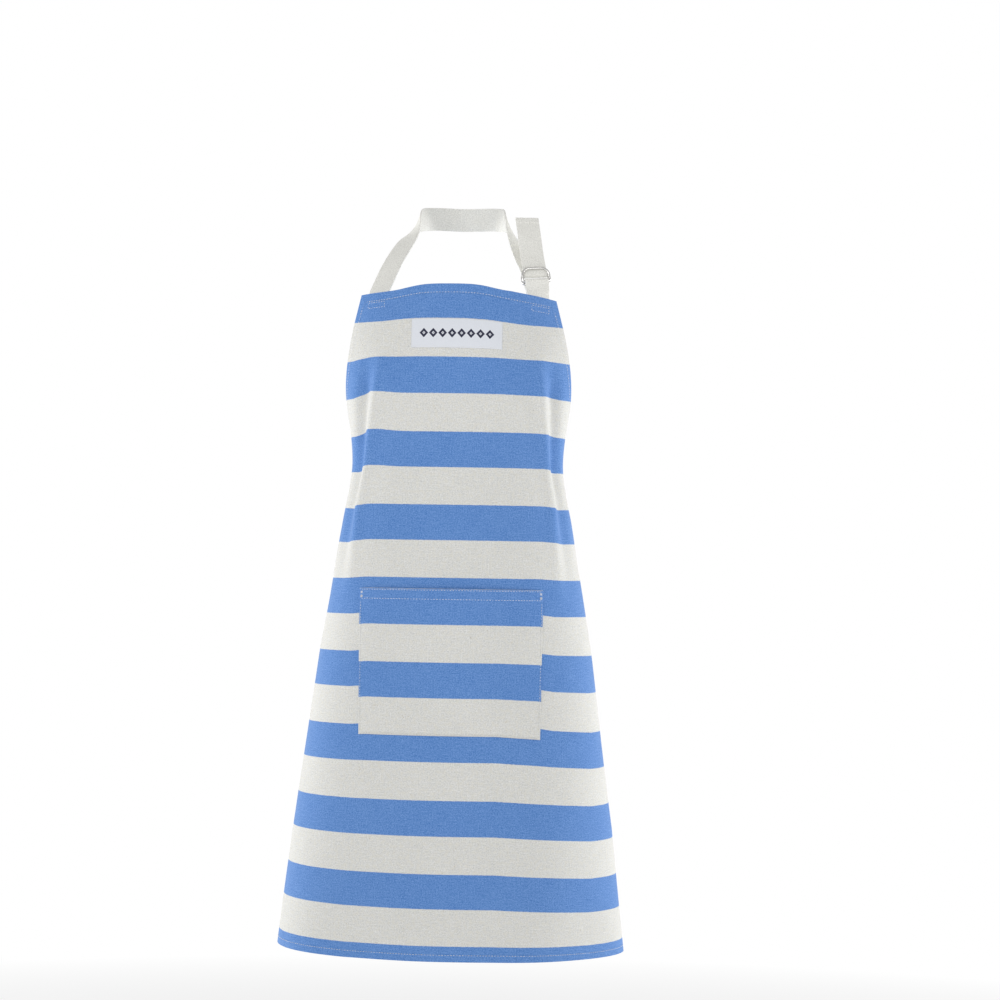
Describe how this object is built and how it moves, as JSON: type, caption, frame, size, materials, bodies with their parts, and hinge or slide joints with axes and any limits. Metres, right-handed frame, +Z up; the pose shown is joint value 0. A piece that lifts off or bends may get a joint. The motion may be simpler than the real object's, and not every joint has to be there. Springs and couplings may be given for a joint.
{
  "type": "butcher apron",
  "caption": "Striped canvas bib apron hanging as worn, with a patch pocket, D-ring neck strap and waist ties in a bow.",
  "frame": {"origin": "the nape: the middle of the neck strap's inner face, where the strap rests on the back of the wearer's neck", "axes": "+Z up along the wearer, -Y the way the wearer faces, +X to the wearer's left"},
  "size_m": [0.478, 0.264, 1.0296],
  "materials": {
    "striped_canvas": "matte",
    "cream_tape": "matte",
    "label_cloth": "matte",
    "sewing_thread": "satin",
    "nickel": "polished"
  },
  "bodies": {
    "apron": {"apron_panel": "striped_canvas", "pocket": "striped_canvas", "label": "label_cloth", "neck_strap": "cream_tape", "ring_tab": "cream_tape", "left_waist_tie": "cream_tape", "right_waist_tie": "cream_tape", "bib_hem_thread": "sewing_thread", "left_armhole_thread": "sewing_thread", "right_armhole_thread": "sewing_thread", "left_side_thread": "sewing_thread", "right_side_thread": "sewing_thread", "bottom_hem_thread": "sewing_thread", "pocket_hem_upper_thread": "sewing_thread", "pocket_hem_lower_thread": "sewing_thread", "pocket_edge_thread": "sewing_thread", "pocket_left_tack": "sewing_thread", "pocket_right_tack": "sewing_thread", "label_thread": "sewing_thread", "tab_anchor_thread": "sewing_thread", "strap_anchor_thread": "sewing_thread", "left_tie_anchor_thread": "sewing_thread", "right_tie_anchor_thread": "sewing_thread", "strap_end_thread": "sewing_thread", "left_tie_end_thread": "sewing_thread", "right_tie_end_thread": "sewing_thread"},
    "inner_ring": {"inner_d_ring": "nickel"},
    "outer_ring": {"outer_d_ring": "nickel"}
  },
  "joints": [
    {"name": "outer_ring_swing", "type": "hinge", "parent": "apron", "child": "outer_ring", "pos_m": [0.10493, -0.16164, -0.10032], "axis": [0.9704, 0.2289, 0.0773], "range_deg": [0, 150]},
    {"name": "inner_ring_swing", "type": "hinge", "parent": "apron", "child": "inner_ring", "pos_m": [0.1046, -0.15905, -0.10385], "axis": [0.9704, 0.2289, 0.0773], "range_deg": [-3, 3]}
  ]
}
